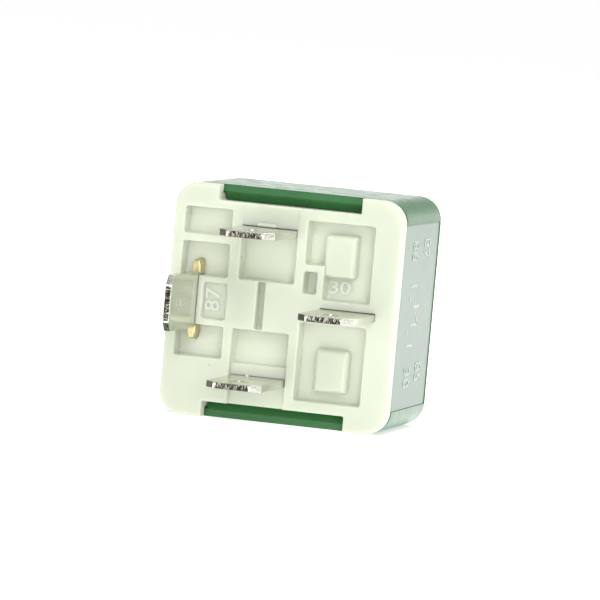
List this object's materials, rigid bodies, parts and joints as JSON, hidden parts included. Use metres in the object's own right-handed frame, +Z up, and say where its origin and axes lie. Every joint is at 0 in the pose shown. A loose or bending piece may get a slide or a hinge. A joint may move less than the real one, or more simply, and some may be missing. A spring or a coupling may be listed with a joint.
{
  "type": "plug-in relay",
  "caption": "Square plug-in relay: moulded base with flat blades, clip-fit cover, and coil, armature and leaf-spring contact inside.",
  "frame": {"origin": "centre of the base's seating face, the face that meets the socket", "axes": "+X across the base from blade 87 to blade 30, +Y from the seating face into the cover, +Z up as the relay lies on a narrow side; the blades point to -Y"},
  "size_m": [0.0264, 0.0304, 0.0262],
  "materials": {
    "base_plastic": "satin off-white moulding",
    "cover_plastic": "glossy dark green moulding",
    "blade_tin": "bright tin plate with sheared edges",
    "contact_silver": "silver alloy",
    "magnet_steel": "zinc plated soft iron",
    "bobbin_plastic": "natural nylon",
    "copper_wire": "enamelled copper",
    "coil_tape": "amber polyester tape",
    "spring_brass": "rolled brass and bronze strip"
  },
  "bodies": {
    "relay": {"base": "base_plastic", "terminal_30": "blade_tin", "terminal_85": "blade_tin", "terminal_86": "blade_tin", "terminal_87": "blade_tin", "fixed_contact": "contact_silver", "yoke": "magnet_steel", "core": "magnet_steel", "bobbin": "bobbin_plastic", "coil_winding": "copper_wire", "coil_tape": "coil_tape", "coil_lead_85": "copper_wire", "coil_lead_86": "copper_wire", "contact_spring": "spring_brass", "stop_bracket": "spring_brass", "yoke_rivet_upper": "spring_brass", "yoke_rivet_lower": "spring_brass"},
    "armature_set": {"armature": "magnet_steel", "moving_contact": "contact_silver", "armature_rivet_upper": "spring_brass", "armature_rivet_lower": "spring_brass"},
    "cover_shell": {"cover": "cover_plastic"}
  },
  "joints": [
    {"name": "armature_hinge", "type": "hinge", "parent": "relay", "child": "armature_set", "pos_m": [0.0095, 0.01455, 0], "axis": [0, 0, 1], "range_deg": [0, 2.5], "stiffness_Nm_per_rad": 0.1, "springref_deg": -2.86, "deforming": ["contact_spring"]},
    {"name": "cover_slide", "type": "slide", "parent": "relay", "child": "cover_shell", "axis": [0, 1, 0], "range_m": [0, 0.02]}
  ]
}
